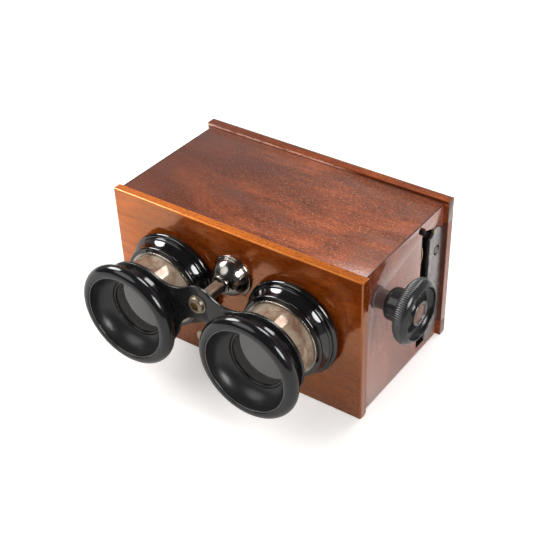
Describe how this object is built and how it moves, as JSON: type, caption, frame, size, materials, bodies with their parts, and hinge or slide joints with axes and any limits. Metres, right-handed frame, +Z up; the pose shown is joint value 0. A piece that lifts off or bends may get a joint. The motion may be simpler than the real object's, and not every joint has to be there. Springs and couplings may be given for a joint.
{
  "type": "stereoscope",
  "caption": "Hand-held wooden box viewer for glass stereo slides, with twin eyepieces on a bridge focused by a side knob",
  "frame": {"origin": "middle of the front panel's bottom edge face, where the viewer stands", "axes": "+X towards the focusing knob, +Y from the eyepieces to the ground glass, +Z up"},
  "size_m": [0.1544, 0.1158, 0.076],
  "materials": {
    "mahogany_front": "French polished, horizontal grain",
    "mahogany_top": "French polished, grain along the width",
    "mahogany_side": "French polished, upright grain",
    "mahogany_frame": "French polished",
    "blackened_wood": "matt black stain",
    "black_card": "matt black",
    "ebonite": "satin, softly worn",
    "black_lacquer": "high gloss",
    "black_bridge": "black lacquer with worn edges",
    "nickel": "bright nickel plate",
    "worn_nickel": "worn nickel plate with brown tarnish",
    "steel": "bright steel, slightly tarnished",
    "brass": "turned brass",
    "copper": "copper-coloured, worn",
    "lens_glass": "clear polished glass",
    "ground_glass": "finely ground, matt white",
    "bone": "smooth cream bone"
  },
  "bodies": {
    "case": {"front_panel": "mahogany_front", "top_board": "mahogany_top", "bottom_board": "mahogany_top", "left_side": "mahogany_side", "right_side": "mahogany_side", "rear_top_rail": "mahogany_frame", "rear_bottom_rail": "mahogany_frame", "rear_left_stile": "mahogany_frame", "rear_right_stile": "mahogany_frame", "rear_glass": "ground_glass", "glass_beads": "mahogany_frame", "guide_frame": "blackened_wood", "slide_tracks": "blackened_wood", "slide_mask": "black_card", "septum": "black_card", "leaf_springs": "steel", "spring_rivets": "brass", "slot_plates": "steel", "plate_screws": "steel", "left_flange": "black_lacquer", "right_flange": "black_lacquer", "left_mouth_ring": "nickel", "right_mouth_ring": "nickel", "rod_bell": "nickel", "rack_bracket": "brass", "bracket_screws": "steel", "shaft_bush": "copper", "bone_stud": "bone"},
    "eyepieces": {"bridge": "black_bridge", "bridge_screw": "nickel", "rack_rod": "worn_nickel", "left_tube": "worn_nickel", "right_tube": "worn_nickel", "left_eyecup": "ebonite", "right_eyecup": "ebonite", "left_lens": "lens_glass", "right_lens": "lens_glass", "left_lens_ring": "black_bridge", "right_lens_ring": "black_bridge"},
    "knob_set": {"pinion_shaft": "steel", "pinion": "brass", "knob": "ebonite", "knob_ring": "nickel", "knob_screw": "copper"}
  },
  "joints": [
    {"name": "focus_slide", "type": "slide", "parent": "case", "child": "eyepieces", "axis": [0, 1, 0], "range_m": [-0.004, 0.0115]},
    {"name": "knob_turn", "type": "hinge", "parent": "case", "child": "knob_set", "pos_m": [0, 0.01175, 0.05888], "axis": [1, 0, 0], "range_deg": [-57.5, 165]}
  ],
  "couplings": [
    {"joint": "knob_turn", "follows": "focus_slide", "rad_per_m": 250}
  ]
}
